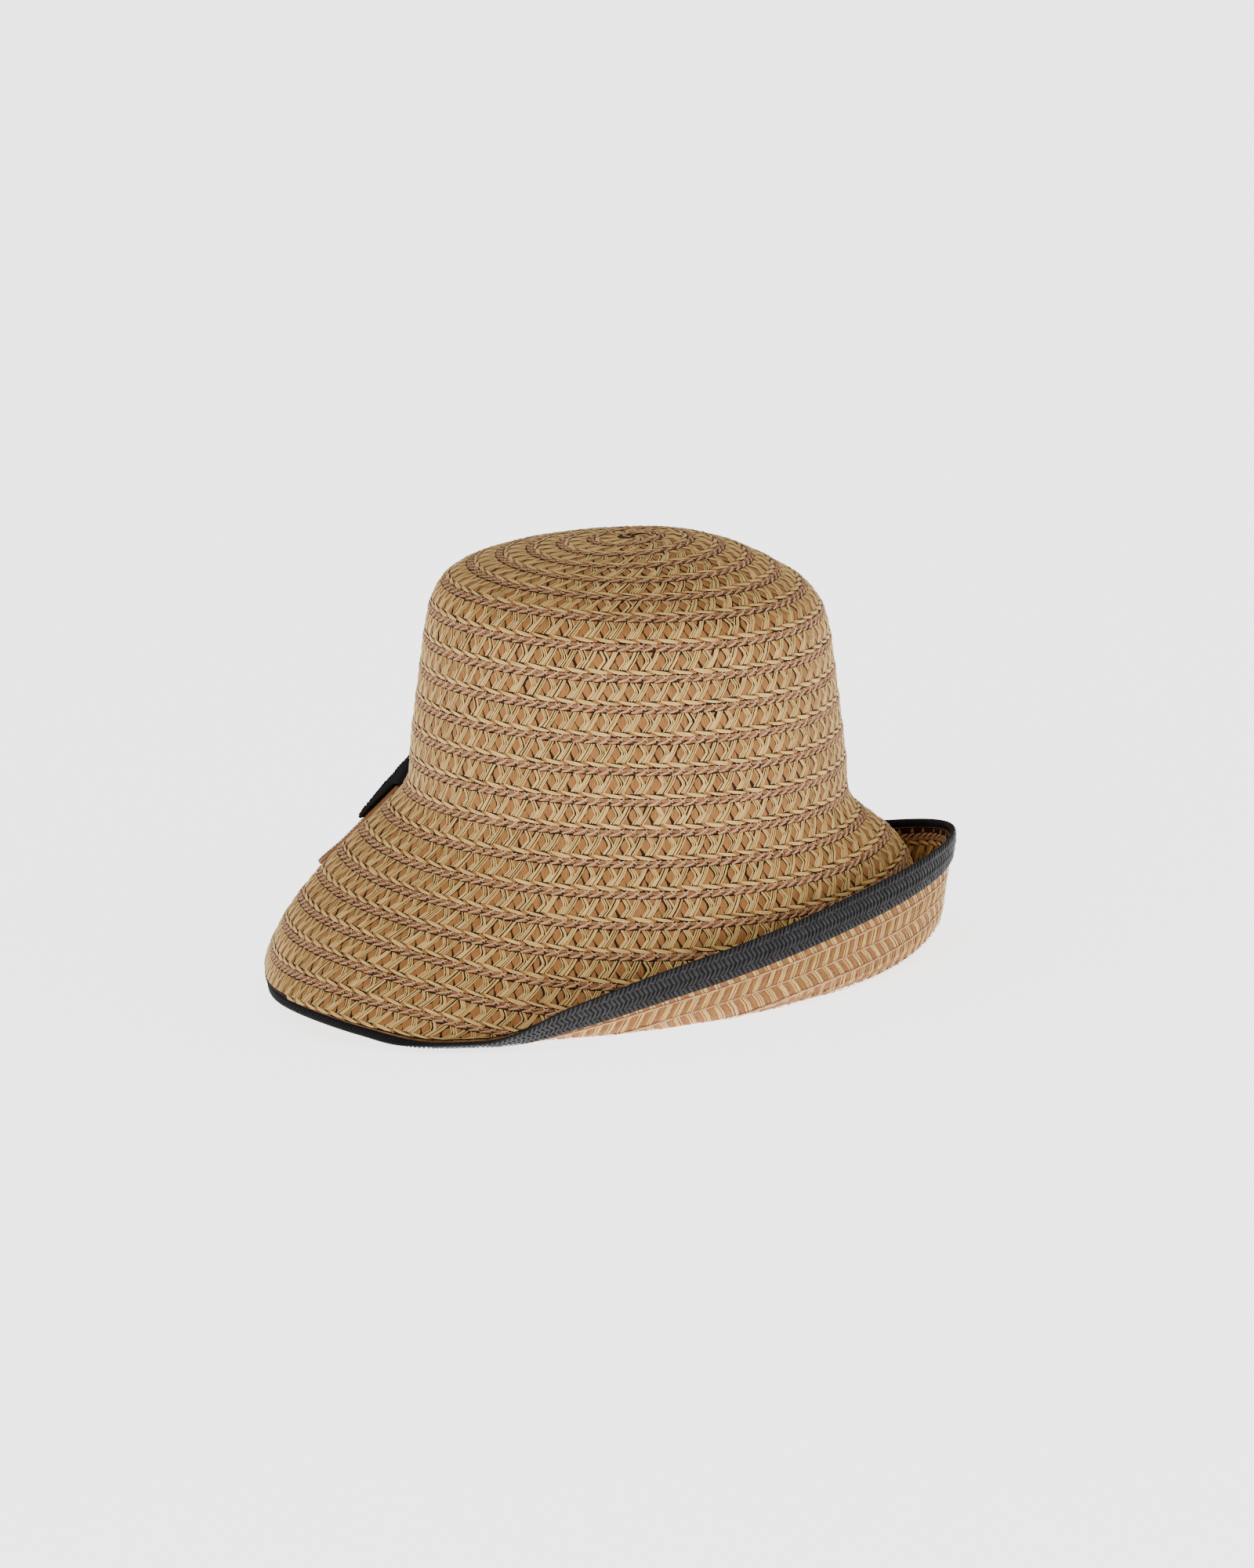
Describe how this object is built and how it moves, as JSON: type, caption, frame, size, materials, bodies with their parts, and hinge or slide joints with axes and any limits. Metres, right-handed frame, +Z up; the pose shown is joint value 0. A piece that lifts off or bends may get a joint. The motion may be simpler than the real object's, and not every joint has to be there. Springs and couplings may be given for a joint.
{
  "type": "straw sun hat",
  "caption": "Sewn straw hat: round domed crown, brim turned down in front and folded up round the back, dark edge braid and a flat bow tail.",
  "frame": {"origin": "middle of the hat's outline seen from above, on the surface it rests on", "axes": "+Z up, -X toward the front of the hat, -Y toward the wearer's left; the hat leans back 5 degrees, as it rests by itself"},
  "size_m": [0.3094, 0.296, 0.1934],
  "materials": {
    "straw": "woven straw braid, matt",
    "charcoal_braid": "woven braid, matt"
  },
  "bodies": {
    "root": {"crown": "straw", "brim": "straw", "edge_braid": "charcoal_braid", "bow_tail": "straw", "bow_wrap": "charcoal_braid"}
  },
  "joints": []
}
